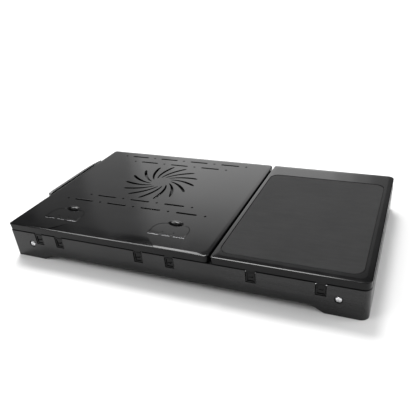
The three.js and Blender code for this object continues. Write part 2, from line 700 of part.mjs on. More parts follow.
const legFoot = (sx, sy) => {
  const middle = sx * (PIVOT.x - LEG.length - GAP - LEG.footLength / 2);
  const [halfX, halfZ] = [LEG.footLength / 2, LEG.high / 2 + 0.5];
  const profile = roundedRect(middle - halfX, middle + halfX, PIVOT.z - halfZ, PIVOT.z + halfZ, 3.5);
  return extrudeAlongY(profile, sy * (LEG.inner - 1.5), sy * (LEG.outer + 0.2), 4);
};

const legCrossbar = (sx) => {
  const x = sx * (PIVOT.x - LEG.length + 12);
  const y = LEG.inner - GAP;
  const tube = roundedRect(x - 8, x + 8, PIVOT.z - 7, PIVOT.z + 7, 5);
  tube.holes.push(roundedRect(x - 5.8, x + 5.8, PIVOT.z - 4.8, PIVOT.z + 4.8, 3.2));
  return extrudeAlongY(tube, -y, y, 3);
};

// ---------- assembly ----------
place("base_shell", baseShell(), SATIN_BLACK);
place("laptop_deck", laptopDeck(), INNER_BLACK);
place("storage_bin", storageBin(), INNER_BLACK);
place("drawer_rail_front", drawerRail(-1), INNER_BLACK);
place("drawer_rail_rear", drawerRail(1), INNER_BLACK);

for (const [sx, endName] of [
  [-1, "left"],
  [1, "right"],
]) {
  for (const [sy, sideName] of [
    [-1, "front"],
    [1, "rear"],
  ]) {
    place(`leg_screw_${sideName}_${endName}`, legScrew(sx, sy), BRIGHT_STEEL);
    place(`leg_nut_${sideName}_${endName}`, legNut(sx, sy), BRIGHT_STEEL);
    place(`leg_arm_${sideName}_${endName}`, legArm(sx, sy), SATIN_BLACK);
    place(`leg_foot_${sideName}_${endName}`, legFoot(sx, sy), RUBBER_BLACK);
    place(`fan_screw_${sideName}_${endName}`, fanScrew(sx, sy), BRIGHT_STEEL);
  }
  place(`leg_crossbar_${endName}`, legCrossbar(sx), SATIN_BLACK);
  place(`laptop_stop_${endName}`, laptopStop(FAN.x + sx * STOP.spread), GLOSS_BLACK);
  place(`stop_pin_${endName}`, stopPin(FAN.x + sx * STOP.spread), BRIGHT_STEEL);
  place(`prop_sleeve_${endName}`, propSleeve(sx), RUBBER_BLACK);
  place(`prop_clip_${endName}`, propClip(sx), INNER_BLACK);
}

LAPTOP_TABS.forEach((x, i) => place(`panel_hinge_pin_${i + 1}`, hingePin(x), BRIGHT_STEEL));
MOUSE_TABS.forEach((x, i) => place(`lid_hinge_pin_${i + 1}`, hingePin(x), BRIGHT_STEEL));

place("laptop_panel", laptopPanel(), GLOSS_BLACK);
place("fan_frame", fanFrame(), INNER_BLACK);
place("fan_stator", fanStator(), COPPER_MOTOR);
place("fan_rotor", fanRotor(), INNER_BLACK);
place("power_inlet", powerInlet(), BRIGHT_STEEL);
place("fan_lead", fanLead(), RUBBER_BLACK);
place("prop_bail", propBail(), BRIGHT_STEEL);
place("mouse_panel", mousePanel(), GLOSS_BLACK);
place("mouse_mat", mouseMat(), MAT_GREY);
place("side_drawer", drawerBox(), INNER_BLACK);
place("drawer_front", drawerFront(), SATIN_BLACK);

// the drawer stands open, so the middle of the object's length is left of the middle of the base
table.position.x = (DRAWER.out + DRAWER_FRONT.thick) / 2;

export default table;
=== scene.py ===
import json
import math
import bmesh
import bpy
from mathutils import Matrix, Vector


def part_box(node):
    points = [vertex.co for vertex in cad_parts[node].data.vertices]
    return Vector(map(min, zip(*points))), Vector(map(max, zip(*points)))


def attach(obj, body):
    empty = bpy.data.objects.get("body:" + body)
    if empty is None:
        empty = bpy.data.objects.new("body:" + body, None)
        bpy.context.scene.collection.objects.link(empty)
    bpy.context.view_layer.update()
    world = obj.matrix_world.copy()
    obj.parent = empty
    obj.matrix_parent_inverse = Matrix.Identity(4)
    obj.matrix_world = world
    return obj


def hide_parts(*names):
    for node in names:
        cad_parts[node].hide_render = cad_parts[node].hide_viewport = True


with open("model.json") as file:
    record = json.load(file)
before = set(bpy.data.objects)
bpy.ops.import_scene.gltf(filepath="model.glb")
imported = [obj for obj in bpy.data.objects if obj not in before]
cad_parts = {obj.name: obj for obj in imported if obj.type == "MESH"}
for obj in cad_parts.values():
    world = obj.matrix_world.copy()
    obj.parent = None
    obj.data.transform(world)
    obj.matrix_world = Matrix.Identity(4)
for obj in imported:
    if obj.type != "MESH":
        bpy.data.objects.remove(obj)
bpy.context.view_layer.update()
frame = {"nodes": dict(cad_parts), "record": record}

# The looks of a laptop cooling table. Lengths are in metres; MM turns a size in millimetres into metres.
MM = 0.001
nodes = frame["nodes"]
scene = bpy.context.scene
ENDS = ("left", "right")
SIDES = ("front", "rear")
PANEL_PINS = 4
LID_PINS = 2


# ---------- places read from the frame ----------
def middle(node):
    low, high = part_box(node)
    return (low + high) / 2


MIDDLE_X = middle("base_shell").x
LAPTOP_LOW, LAPTOP_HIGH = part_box("laptop_panel")
MOUSE_LOW, MOUSE_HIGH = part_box("mouse_panel")
FAN = middle("fan_frame")
TOP_Z = LAPTOP_HIGH.z
RIM_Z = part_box("base_shell")[1].z
FRONT_Y = LAPTOP_LOW.y
REAR_Y = LAPTOP_HIGH.y
STOP_Y = middle("stop_pin_left").y


# ---------- camera ----------
# It stands in front of the table, right of its middle, and looks down and to the left, a little rolled.
# Angles are in degrees, and the lens is in millimetres.
CAMERA_PLACE = (MIDDLE_X + 322.6 * MM, -670.4 * MM, 441.3 * MM)
CAMERA_TURN = 23.41
CAMERA_PITCH = 58.77
CAMERA_ROLL = -4.25
CAMERA_LENS = 40.77
CAMERA_SHIFT = (-0.0473, 0.0591)


def add_camera():
    camera = bpy.data.objects.new("camera", bpy.data.cameras.new("camera"))
    place = Matrix.Translation(Vector(CAMERA_PLACE))
    turn = Matrix.Rotation(math.radians(CAMERA_TURN), 4, "Z")
    pitch = Matrix.Rotation(math.radians(CAMERA_PITCH), 4, "X")
    roll = Matrix.Rotation(math.radians(CAMERA_ROLL), 4, "Z")
    camera.matrix_world = place @ turn @ pitch @ roll
    camera.data.sensor_width = 36
    camera.data.lens = CAMERA_LENS
    camera.data.shift_x, camera.data.shift_y = CAMERA_SHIFT
    scene.collection.objects.link(camera)
    scene.camera = camera


# ---------- mesh tools ----------
def link(name, mesh):
    obj = bpy.data.objects.new(name, mesh)
    scene.collection.objects.link(obj)
    return obj


def round_rect(x0, x1, y0, y1, right, left=None, steps=8):
    """A rectangle with round corners, anticlockwise; the left corners may have their own radius."""
    left = right if left is None else left
    corners = ((x1, y0, right, -90), (x1, y1, right, 0), (x0, y1, left, 90), (x0, y0, left, 180))
    points = []
    for x, y, r, start in corners:
        cx = x - r if start < 90 else x + r
        cy = y + r if start in (-90, 180) else y - r
        for i in range(steps + 1):
            angle = math.radians(start + 90 * i / steps)
            points.append((cx + r * math.cos(angle), cy + r * math.sin(angle)))
    return points


def grow(outline, out):
    """The outline moved outwards by a distance; it runs anticlockwise."""
    grown = []
    for i, (x, y) in enumerate(outline):
        before = Vector(outline[i - 1])
        after = Vector(outline[(i + 1) % len(outline)])
        here = Vector((x, y))
        first = (here - before).normalized()
        second = (after - here).normalized()
        normal = Vector((first.y + second.y, -first.x - second.x))
        if normal.length < 1e-6:
            grown.append((x, y))
            continue
        normal.normalize()
        spread = max(normal.dot(Vector((first.y, -first.x))), 0.5)
        grown.append((x + normal.x * out / spread, y + normal.y * out / spread))
    return grown


def oval(x, y, reach_x, reach_y, steps):
    """The points of an upright or lying oval around (x, y), anticlockwise."""
    turns = [2 * math.pi * i / steps for i in range(steps)]
    return [(x + reach_x * math.cos(turn), y + reach_y * math.sin(turn)) for turn in turns]


def bezier(a, b, c, steps=10):
    """Points along the curve from a to c that bends towards b."""
    points = []
    for i in range(steps + 1):
        t = i / steps
        blend = ((1 - t) ** 2, 2 * t * (1 - t), t * t)
        points.append(tuple(blend[0] * p + blend[1] * q + blend[2] * r for p, q, r in zip(a, b, c)))
    return points


def at_height(outline, z):
    return [(x, y, z) for x, y in outline]


def loft(name, rings):
    """A closed mesh over rings of points, each with the same number of points, its two ends capped."""
    count = len(rings[0])
    verts = [p for ring in rings for p in ring]
    faces = []
    for k in range(len(rings) - 1):
        for i in range(count):
            a = k * count + i
            b = k * count + (i + 1) % count
            faces.append((a, b, b + count, a + count))
    faces.append(tuple(range(count - 1, -1, -1)))
    faces.append(tuple(range((len(rings) - 1) * count, len(rings) * count)))
    mesh = bpy.data.meshes.new(name)
    mesh.from_pydata(verts, [], faces)
    bm = bmesh.new()
    bm.from_mesh(mesh)
    bmesh.ops.recalc_face_normals(bm, faces=bm.faces)
    bm.to_mesh(mesh)
    bm.free()
    return link(name, mesh)


def prism(outline, z0, z1, flare=0, mouth=None):
    """A cutter with an upright wall; a flare leans the wall out at the mouth, to chamfer the hole's edge."""
    if not flare:
        return loft("cutter", [at_height(outline, z0), at_height(outline, z1)])
    wide = grow(outline, flare)
    rings = [
        at_height(outline, z0),
        at_height(outline, mouth - flare),
        at_height(wide, mouth),
        at_height(wide, z1),
    ]
    return loft("cutter", rings)


def cuboid(low, high):
    x0, y0, z0 = low
    x1, y1, z1 = high
    outline = [(x0, y0), (x1, y0), (x1, y1), (x0, y1)]
    return loft("cuboid", [at_height(outline, z0), at_height(outline, z1)])


def bar_profile(r, half, chamfer=0.0):
    """The profile of a round bar for turned(), with or without chamfered ends."""
    if not chamfer:
        return [(0, -half), (r, -half), (r, half), (0, half)]
    low_end = [(0, -half), (r - chamfer, -half), (r, chamfer - half)]
    high_end = [(r, half - chamfer), (r - chamfer, half), (0, half)]
    return low_end + high_end


AXIS_TURNS = {
    "X": Matrix.Rotation(math.radians(90), 4, "Y"),
    "Y": Matrix.Rotation(math.radians(-90), 4, "X"),
    "-Y": Matrix.Rotation(math.radians(90), 4, "X"),
    "Z": Matrix.Identity(4),
}


def weld(bm):
    bmesh.ops.remove_doubles(bm, verts=bm.verts, dist=1e-6)


def turned(name, profile, centre, axis="Z", steps=40):
    """A closed solid of revolution; the profile is (radius, height) from one end on the axis to the other."""
    verts = []
    faces = []
    for r, h in profile:
        for i in range(steps):
            angle = 2 * math.pi * i / steps
            verts.append(Vector((r * math.cos(angle), r * math.sin(angle), h)))
    for k in range(len(profile) - 1):
        for i in range(steps):
            a = k * steps + i
            b = k * steps + (i + 1) % steps
            faces.append((a, b, b + steps, a + steps))
    mesh = bpy.data.meshes.new(name)
    mesh.from_pydata(verts, [], faces)
    bm = bmesh.new()
    bm.from_mesh(mesh)
    weld(bm)
    holes = [e for e in bm.edges if e.is_boundary]
    if holes:
        bmesh.ops.holes_fill(bm, edges=holes, sides=0)
    bmesh.ops.recalc_face_normals(bm, faces=bm.faces)
    bm.to_mesh(mesh)
    bm.free()
    mesh.transform(Matrix.Translation(Vector(centre)) @ AXIS_TURNS[axis])
    return link(name, mesh)


def join_meshes(objs):
    """One object that holds the meshes of several."""
    bm = bmesh.new()
    for obj in objs:
        bm.from_mesh(obj.data)
        bpy.data.objects.remove(obj)
    mesh = bpy.data.meshes.new("joined")
    bm.to_mesh(mesh)
    bm.free()
    return link("joined", mesh)


def apply_modifiers(obj):
    graph = bpy.context.evaluated_depsgraph_get()
    mesh = bpy.data.meshes.new_from_object(obj.evaluated_get(graph))
    obj.modifiers.clear()
    obj.data = mesh


def boolean(obj, tools, operation):
    tool = join_meshes(tools)
    step = obj.modifiers.new("boolean", "BOOLEAN")
    step.operation = operation
    step.solver = "EXACT"
    step.object = tool
    apply_modifiers(obj)
    bpy.data.objects.remove(tool)


def cut(obj, *tools):
    boolean(obj, tools, "DIFFERENCE")


def add(obj, *tools):
    for tool in tools:
        boolean(obj, (tool,), "UNION")


def round_edges(obj, width, segments=2, angle=35):
    """Merges the flat faces and rounds every sharp edge, so that it catches the light."""
    bm = bmesh.new()
    bm.from_mesh(obj.data)
    weld(bm)
    bmesh.ops.dissolve_limit(bm, angle_limit=math.radians(0.5), verts=bm.verts, edges=bm.edges)
    bm.to_mesh(obj.data)
    bm.free()
    step = obj.modifiers.new("bevel", "BEVEL")
    step.width = width
    step.segments = segments
    step.limit_method = "ANGLE"
    step.angle_limit = math.radians(angle)
    step.use_clamp_overlap = True
    step.miter_outer = "MITER_ARC"
    apply_modifiers(obj)
    shade(obj)


def shade(obj, angle=38):
    """Smooth shading that keeps flat faces flat, and edges above the angle sharp."""
    for face in obj.data.polygons:
        face.use_smooth = True
    obj.data.set_sharp_from_angle(angle=math.radians(angle))
    step = obj.modifiers.new("normals", "WEIGHTED_NORMAL")
    step.keep_sharp = True
    step.weight = 80
    apply_modifiers(obj)


def stand_for(obj, node, material):
    """The piece takes a CAD node's place, on its body and with the given material."""
    obj.name = node + "_look"
    obj.data.materials.clear()
    obj.data.materials.append(material)
    body = next(b for b, members in frame["record"]["behaviour"]["bodies"].items() if node in members)
    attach(obj, body)
    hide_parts(node)


def softened(node, material, width, segments=2):
    """A copy of a CAD node with its edges rounded as moulding or pressing leaves them."""
    obj = link(node + "_soft", nodes[node].data.copy())
    round_edges(obj, width, segments)
    stand_for(obj, node, material)


def smoothed(node, material):
    """A copy of a bent round wire or lead, with its facets smoothed."""
    wire = link(node + "_look", nodes[node].data.copy())
    bm = bmesh.new()
    bm.from_mesh(wire.data)
    weld(bm)
    bm.to_mesh(wire.data)
    bm.free()
    shade(wire, 60)
    stand_for(wire, node, material)


# ---------- material tools ----------
class Shader:
    """A small wrapper that keeps a node material short to write."""

    def __init__(self, name):
        self.material = bpy.data.materials.new(name)
        self.material.use_nodes = True
        self.tree = self.material.node_tree
        self.out = self.tree.nodes["Principled BSDF"]
        self.place = self.add("ShaderNodeTexCoord").outputs["Object"]

    def add(self, kind, **values):
        node = self.tree.nodes.new(kind)
        for key, value in values.items():
            setattr(node, key, value)
        return node

    def link(self, source, target):
        self.tree.links.new(source, target)

    def stretched(self, scale):
        """The place on the object with each axis scaled on its own, for patterns that run one way."""
        mapping = self.add("ShaderNodeMapping")
        mapping.inputs["Scale"].default_value = scale
        self.link(self.place, mapping.inputs["Vector"])
        return mapping.outputs["Vector"]

    def noise(self, scale, detail=4, rough=0.55, place=None):
        """A soft pattern between 0 and 1; a higher scale is finer."""
        node = self.add("ShaderNodeTexNoise")
        node.inputs["Scale"].default_value = scale
        node.inputs["Detail"].default_value = detail
        node.inputs["Roughness"].default_value = rough
        self.link(place or self.place, node.inputs["Vector"])
        return node.outputs["Fac"]

    def ramp(self, source, low, high, from_low=0.0, from_high=1.0):
        """Maps a value onto a span, and clamps it."""
        node = self.add("ShaderNodeMapRange")
        node.inputs["From Min"].default_value = from_low
        node.inputs["From Max"].default_value = from_high
        node.inputs["To Min"].default_value = low
        node.inputs["To Max"].default_value = high
        self.link(source, node.inputs["Value"])
        return node.outputs["Result"]

    def math(self, operation, a, b):
        node = self.add("ShaderNodeMath", operation=operation)
        for socket, value in zip(node.inputs, (a, b)):
            if isinstance(value, (int, float)):
                socket.default_value = value
            else:
                self.link(value, socket)
        return node.outputs["Value"]

    def colour(self, source, dark, light, low=0.0, high=1.0):
        """A colour between two, by a value."""
        node = self.add("ShaderNodeValToRGB")
        node.color_ramp.elements[0].position = low
        node.color_ramp.elements[1].position = high
        node.color_ramp.elements[0].color = (*dark, 1)
        node.color_ramp.elements[1].color = (*light, 1)
        self.link(source, node.inputs["Fac"])
        return node.outputs["Color"]

    def bump(self, height, strength, distance, under=None):
        node = self.add("ShaderNodeBump")
        node.inputs["Strength"].default_value = strength
        node.inputs["Distance"].default_value = distance
        self.link(height, node.inputs["Height"])
        if under:
            self.link(under, node.inputs["Normal"])
        return node.outputs["Normal"]

    def set(self, **values):
        """Links or sets the surface's own sockets; a socket's name has _ for each space."""
        for key, value in values.items():
            socket = self.out.inputs[key.replace("_", " ")]
            if hasattr(value, "is_linked"):
                self.link(value, socket)
            else:
                socket.default_value = value
        return self.material


def gloss_black():
    """Injection-moulded gloss: faint clouding from handling, sparse dust and a few fine hairlines."""
    s = Shader("gloss_black")
    cloud = s.noise(11, 4, 0.5)
    smudge = s.noise(38, 3, 0.5)
    hair = s.noise(70, 2, place=s.stretched((0.5, 14, 1)))
    smear = s.math("ADD", s.math("MULTIPLY", cloud, 0.6), s.math("MULTIPLY", smudge, 0.4))
    dust = s.ramp(s.noise(1100, 1), 0, 1, 0.70, 0.78)
    dirt = s.math("ADD", smear, s.math("MULTIPLY", dust, 0.25))
    base = s.colour(dirt, (0.0024, 0.0024, 0.0026), (0.0052, 0.0052, 0.0054), 0.3, 0.8)
    rough = s.math("ADD", s.ramp(smear, 0.1, 0.17, 0.35, 0.65), s.ramp(hair, 0, 0.03, 0.66, 0.74))
    ripple = s.bump(s.noise(140, 1), 0.012, 0.3 * MM)
    return s.set(Base_Color=base, Roughness=rough, Normal=ripple, IOR=1.26)


def satin_black(name="satin_black", smooth=0.18, dull=0.27, ior=1.4):
    """Spark-eroded satin plastic: a fine even grain with slight tone drift."""
    s = Shader(name)
    drift = s.noise(9, 4)
    grain = s.noise(1500, 3, 0.6)
    flow = s.noise(26, 3, place=s.stretched((0.4, 1, 5)))
    tone = s.math("ADD", s.math("MULTIPLY", drift, 0.6), s.math("MULTIPLY", flow, 0.4))
    base = s.colour(tone, (0.0035, 0.0035, 0.0037), (0.015, 0.015, 0.0153), 0.36, 0.64)
    rough = s.math("ADD", s.ramp(drift, smooth, dull, 0.35, 0.65), s.ramp(grain, -0.03, 0.03))
    normal = s.bump(s.noise(60, 2), 0.03, 0.5 * MM, s.bump(grain, 0.16, 0.12 * MM))
    return s.set(Base_Color=base, Roughness=rough, Normal=normal, IOR=ior)


def inner_black():
    """Unseen mouldings: matt, with flow lines."""
    s = Shader("inner_black")
    grain = s.noise(700, 3)
    flow = s.noise(18, 3, place=s.stretched((1, 3, 1)))
    base = s.colour(flow, (0.005, 0.005, 0.0052), (0.011, 0.011, 0.0113), 0.3, 0.7)
    rough = s.ramp(flow, 0.5, 0.66)
    return s.set(Base_Color=base, Roughness=rough, Normal=s.bump(grain, 0.2, 0.15 * MM), IOR=1.3)


def mat_grey():
    """The mouse mat's cloth: a close over-and-under weave, a little fuzz, and wear where the hand rests."""
    s = Shader("mat_grey")
    warp = s.add("ShaderNodeTexWave", wave_type="BANDS", bands_direction="X")
    weft = s.add("ShaderNodeTexWave", wave_type="BANDS", bands_direction="Y")
    for thread in (warp, weft):
        thread.inputs["Scale"].default_value = 330
        thread.inputs["Distortion"].default_value = 0.6
        s.link(s.place, thread.inputs["Vector"])
    weave = s.math("MULTIPLY", warp.outputs["Fac"], weft.outputs["Fac"])
    fuzz = s.noise(2600, 3, 0.7)
    wear = s.noise(11, 4)
    slub = s.noise(120, 3, place=s.stretched((0.3, 2.2, 1)))
    tone = s.math("ADD", s.math("MULTIPLY", wear, 0.45), s.math("MULTIPLY", slub, 0.3))
    tone = s.math("ADD", tone, s.math("MULTIPLY", s.math("ADD", weave, fuzz), 0.16))
    base = s.colour(tone, (0.0042, 0.0042, 0.0044), (0.0165, 0.0165, 0.0168), 0.34, 0.66)
    normal = s.bump(fuzz, 0.25, 0.1 * MM, s.bump(weave, 0.45, 0.22 * MM))
    s.set(Sheen_Weight=0.04, Sheen_Roughness=0.5, Specular_IOR_Level=0.3)
    return s.set(Base_Color=base, Roughness=s.ramp(wear, 0.82, 0.96), Normal=normal)


def rubber_black():
    """Rubber feet, sleeves and the lead: fine grain with a grey bloom."""
    s = Shader("rubber_black")
    grain = s.noise(1100, 3, 0.6)
    bloom = s.noise(35, 4)
    base = s.colour(bloom, (0.012, 0.012, 0.012), (0.030, 0.030, 0.0295), 0.35, 0.7)
    rough = s.ramp(bloom, 0.7, 0.9)
    return s.set(Base_Color=base, Roughness=rough, Normal=s.bump(grain, 0.25, 0.15 * MM))


def bright_steel():
    """Nickel-plated steel: turning marks and slight tarnish."""
    s = Shader("bright_steel")
    tarnish = s.noise(220, 4)
    marks = s.noise(1800, 2, place=s.stretched((1, 0.2, 1)))
    base = s.colour(tarnish, (0.56, 0.56, 0.57), (0.86, 0.86, 0.87), 0.35, 0.65)
    rough = s.math("ADD", s.ramp(tarnish, 0.16, 0.32, 0.35, 0.65), s.ramp(marks, 0, 0.05))
    return s.set(Base_Color=base, Roughness=rough, Metallic=1.0, Normal=s.bump(marks, 0.06, 0.05 * MM))


def shaded_steel():
    """The same steel with painted shade: a darker copy for the pins that lie in the shade of their channel.
    """
    s = Shader("shaded_steel")
    tarnish = s.noise(220, 4)
    marks = s.noise(1500, 2, place=s.stretched((0.2, 1, 1)))
    # painted shade: a darker base colour than the bright steel's, standing in for the channel's shade
    base = s.colour(tarnish, (0.10, 0.10, 0.102), (0.22, 0.22, 0.224), 0.35, 0.65)
    rough = s.math("ADD", s.ramp(tarnish, 0.24, 0.38, 0.35, 0.65), s.ramp(marks, 0, 0.05))
    return s.set(Base_Color=base, Roughness=rough, Metallic=1.0, Normal=s.bump(marks, 0.06, 0.05 * MM))


def motor_copper():
    """The motor's winding: close turns of lacquered wire."""
    s = Shader("motor_copper")
    turns = s.add("ShaderNodeTexWave", wave_type="BANDS", bands_direction="Z")
    turns.inputs["Scale"].default_value = 700
    s.link(s.place, turns.inputs["Vector"])
    base = s.colour(turns.outputs["Fac"], (0.28, 0.10, 0.035), (0.55, 0.26, 0.11))
    rough = s.ramp(s.noise(90), 0.3, 0.45)
    normal = s.bump(turns.outputs["Fac"], 0.3, 0.1 * MM)
    return s.set(Base_Color=base, Roughness=rough, Metallic=0.85, Normal=normal)


def pale_floor():
    """Near-white paper with painted shade: darker near the table, it grows paler with its distance from the
    table.
    """
    s = Shader("pale_floor")
    away = s.add("ShaderNodeVectorMath", operation="LENGTH")
    s.link(s.place, away.inputs[0])
    # painted shade: the colour is darkest near the table and fades out with distance; the noise adds a little
    # random tone
    tone = s.math("ADD", s.ramp(away.outputs["Value"], 0, 1, 0.7, 2.6), s.ramp(s.noise(2, 3), -0.05, 0.05))
    base = s.colour(tone, (0.7, 0.7, 0.7), (0.99, 0.99, 0.99))
    return s.set(Base_Color=base, Roughness=s.ramp(s.noise(40), 0.85, 0.95), Specular_IOR_Level=0.1)


# ---------- panels ----------
SKIN = 2.4 * MM
LAPTOP_RADII = (8 * MM, 4.5 * MM)
MOUSE_RADII = (11 * MM, 4 * MM)
# how far the flat field lies inside the lid's outline, and the radius of its corners
LAPTOP_FIELD = (6 * MM, 15 * MM)
MOUSE_FIELD = (8.5 * MM, 9 * MM)
PANEL_BOTTOM = RIM_Z + 1.3 * MM
# the lid's edge, as millimetres inwards from its wall and millimetres below its top: a tight radius, a bright
# facet, then a soft bend into the long rise to the flat field
EDGE = ((0, 1.35), (0.06, 1.05), (0.2, 0.82), (0.42, 0.68), (1.65, 0.39), (1.9, 0.36), (2.3, 0.34))


def panel_ring(low, high, inset, z, radii, right_inset=None):
    """The lid's outline drawn in by an inset; its right side may keep an inset of its own."""
    right, left = (max(r - inset, 0.8 * MM) for r in radii)
    x1 = high.x - (inset if right_inset is None else right_inset)
    outline = round_rect(low.x + inset, x1, FRONT_Y + inset, REAR_Y - inset, right, left)
    return at_height(outline, z)


def panel_skin(name, low, high, radii, field):
    """The moulded lid: a skirt that leans in towards its foot, the edge, and a gentle rise to the field."""
    field_inset, field_radius = field
    foot = 0.3 * MM
    lean = 0.8 * MM
    rings = [
        panel_ring(low, high, SKIN, TOP_Z - SKIN, radii),
        panel_ring(low, high, SKIN, PANEL_BOTTOM + foot, radii),
        panel_ring(low, high, SKIN - foot, PANEL_BOTTOM, radii),
        panel_ring(low, high, lean + foot, PANEL_BOTTOM, radii, 0.35 * MM),
        panel_ring(low, high, lean, PANEL_BOTTOM + foot, radii, 0),
        panel_ring(low, high, lean - 0.02 * MM, PANEL_BOTTOM + 2 * foot, radii, 0),
        panel_ring(low, high, 0.05 * MM, TOP_Z - 1.75 * MM, radii, 0),
    ]
    for inset, drop in EDGE:
        rings.append(panel_ring(low, high, inset * MM, TOP_Z - drop * MM, radii))
    field_ring = round_rect(
        low.x + field_inset,
        high.x - field_inset,
        FRONT_Y + field_inset,
        REAR_Y - field_inset,
        field_radius,
    )
    last = rings[-1]
    for share, rise in ((0.5, 0.6), (0.94, 0.95), (1, 1)):
        z = last[0][2] + (TOP_Z - last[0][2]) * rise
        ring = []
        for (ax, ay, _), (bx, by) in zip(last, field_ring):
            ring.append((ax + (bx - ax) * share, ay + (by - ay) * share, z))
        rings.append(ring)
    return loft(name, rings)


# a hinge tab's front and back, the frame around its sunk face, and its catch, a slab whose low edge stands
# out: each catch edge is its half-width, its height above the tab's foot, and its place in y
TAB = {
    "half": 6.5 * MM,
    "face": FRONT_Y + 0.9 * MM,
    "back": FRONT_Y + 4.4 * MM,
    "frame": 1.3 * MM,
    "sill": 1.5 * MM,
    "sunk": 1.2 * MM,
    "lintel": 14.9 * MM,
    "catch_low": (3.0 * MM, 7.7 * MM, FRONT_Y + 0.2 * MM),
    "catch_high": (2.4 * MM, 10.9 * MM, FRONT_Y + 2.1 * MM),
    "knuckle_r": 2.2 * MM,
}


def hinge_tab(hinge, foot_z):
    """A tab that hangs in its window: a face sunk in a frame, a catch, and a knuckle around its hinge pin."""
    half = TAB["half"]
    face = TAB["face"]
    x = hinge.x
    body = cuboid((x - half, face, foot_z), (x + half, TAB["back"], PANEL_BOTTOM + 2 * MM))
    inner = half - TAB["frame"]
    sunk_low = (x - inner, face - 1 * MM, foot_z + TAB["sill"])
    cut(body, cuboid(sunk_low, (x + inner, face + TAB["sunk"], foot_z + TAB["lintel"])))
    low_half, low_rise, low_y = TAB["catch_low"]
    high_half, high_rise, high_y = TAB["catch_high"]
    front = [
        (x - low_half, low_y, foot_z + low_rise),
        (x + low_half, low_y, foot_z + low_rise),
        (x + high_half, high_y, foot_z + high_rise),
        (x - high_half, high_y, foot_z + high_rise),
    ]
    back = [(px, face + 1.6 * MM, pz) for px, _, pz in front]
    catch = loft("catch", [back, front])
    knuckle = turned("knuckle", bar_profile(TAB["knuckle_r"], half), hinge, "X", 20)
    return body, catch, knuckle


# the fan grille's slots: their reach in and out, how far they wind, their half-width and its swell, the share
# of their length that each end is rounded over, and the least share of the width that is left there
GRILLE = {
    "slots": 15,
    "first": math.radians(-1),
    "inner": 19 * MM,
    "outer": 70.5 * MM,
    "wind": math.radians(32),
    "half": 1.05 * MM,
    "swell": 2.1 * MM,
    "tip": 0.07,
    "root": 0.06,
    "least": 0.25,
}


def end_rounding(depth, span):
    """A slot's width at a depth from its end, as a share: a quarter circle over the span, then full."""
    return math.sqrt(max(0.0, 1 - max(0.0, 1 - depth / span) ** 2))


def spiral_slot(turn):
    """One curved slot of the fan grille: it winds towards the hub and narrows."""
    inner, outer = GRILLE["inner"], GRILLE["outer"]
    steps = 14

    def point(t, side):
        r = inner + (outer - inner) * t
        rounding = min(end_rounding(1 - t, GRILLE["tip"]), end_rounding(t, GRILLE["root"]))
        share = max(rounding, GRILLE["least"])
        half = side * (GRILLE["half"] + GRILLE["swell"] * math.sin(t * 2.3)) * share
        angle = turn + GRILLE["wind"] * math.log(outer / r) + half / r
        return (FAN.x + r * math.cos(angle), FAN.y + r * math.sin(angle))

    ts = [i / steps for i in range(steps + 1)]
    right = [point(t, -1) for t in ts]
    left = [point(t, 1) for t in reversed(ts)]
    return right + left


VENTS = {
    "pitch": 69 * MM,
    # each row: its distance from the fan's middle, and its number of long vents
    "rows": ((80 * MM, 3), (103 * MM, 4)),
    "dash_half": (19 * MM, 2.1 * MM),
    "dash_r": 2 * MM,
    "dot_r": 1.9 * MM,
}


def vent_outlines():
    """Rows of long and round vents in front of and behind the fan."""
    pitch = VENTS["pitch"]
    half_x, half_y = VENTS["dash_half"]
    dash_r = VENTS["dash_r"]
    r = VENTS["dot_r"]
    outlines = []
    for offset, dashes in VENTS["rows"]:
        for side in (-1, 1):
            y = FAN.y + side * offset
            for i in range(dashes):
                x = FAN.x + (i - (dashes - 1) / 2) * pitch
                dash = round_rect(x - half_x, x + half_x, y - half_y, y + half_y, dash_r, steps=5)
                outlines.append(dash)
            for i in range(dashes + 1):
                x = FAN.x + (i - dashes / 2) * pitch
                outlines.append(round_rect(x - r, x + r, y - r, y + r, r * 0.98, steps=5))
    return outlines


# a laptop stop: its outline and grip, its heights, then its lugs, bore and dimples
STOP = {
    "half": 32 * MM,
    "back": STOP_Y + 34 * MM,
    "corner": (22 * MM, 20 * MM),
    "grip_y": STOP_Y + 36.5 * MM,
    "grip": (13 * MM, 6.5 * MM),
    "floor": TOP_Z - 2.9 * MM,
    "face": TOP_Z - 0.1 * MM,
    "lug_r": 1.6 * MM,
    "lug_half": 2.5 * MM,
    "lug_x": 10 * MM,
    "bore_r": 1.1 * MM,
    "dimple_r": 1.2 * MM,
    "dimple_y": STOP_Y + 8.8 * MM,
    "dimple_deep": 1.3 * MM,
}


def stop_outline(x, out, front):
    """The D of a laptop stop with a lobe under its grip: straight along its hinge, rounded at the back."""
    half = STOP["half"] + out
    back = STOP["back"] + out
    corner_x, corner_y = STOP["corner"]
    points = [(x - half, front), (x + half, front)]
    reach_x, reach_y = STOP["grip"][0] + out, STOP["grip"][1] + out
    start = math.asin((back - STOP["grip_y"]) / reach_y)
    lobe_x = x + reach_x * math.cos(start)
    corner = bezier((x + half, back - corner_y), (x + half, back), (x + half - corner_x, back))
    # the outline mustn't fold back where the corner runs under the lobe
    corner = [p for p in corner if p[0] > lobe_x + 0.4 * MM]
    points += corner
    steps = 24
    for i in range(steps + 1):
        angle = start + (math.pi - 2 * start) * i / steps
        points.append((x + reach_x * math.cos(angle), STOP["grip_y"] + reach_y * math.sin(angle)))
    points += [(2 * x - px, py) for px, py in reversed(corner)]
    return points


# the finger scoop: its left and right end, its front and back edge, the slant of its ends, and its depth
SCOOP = {
    "ends": (FAN.x - 101 * MM, FAN.x + 98 * MM),
    "front": FRONT_Y + 3 * MM,
    "back": FRONT_Y + 26.5 * MM,
    "slant": 24 * MM,
    "deep": 1.25 * MM,
}


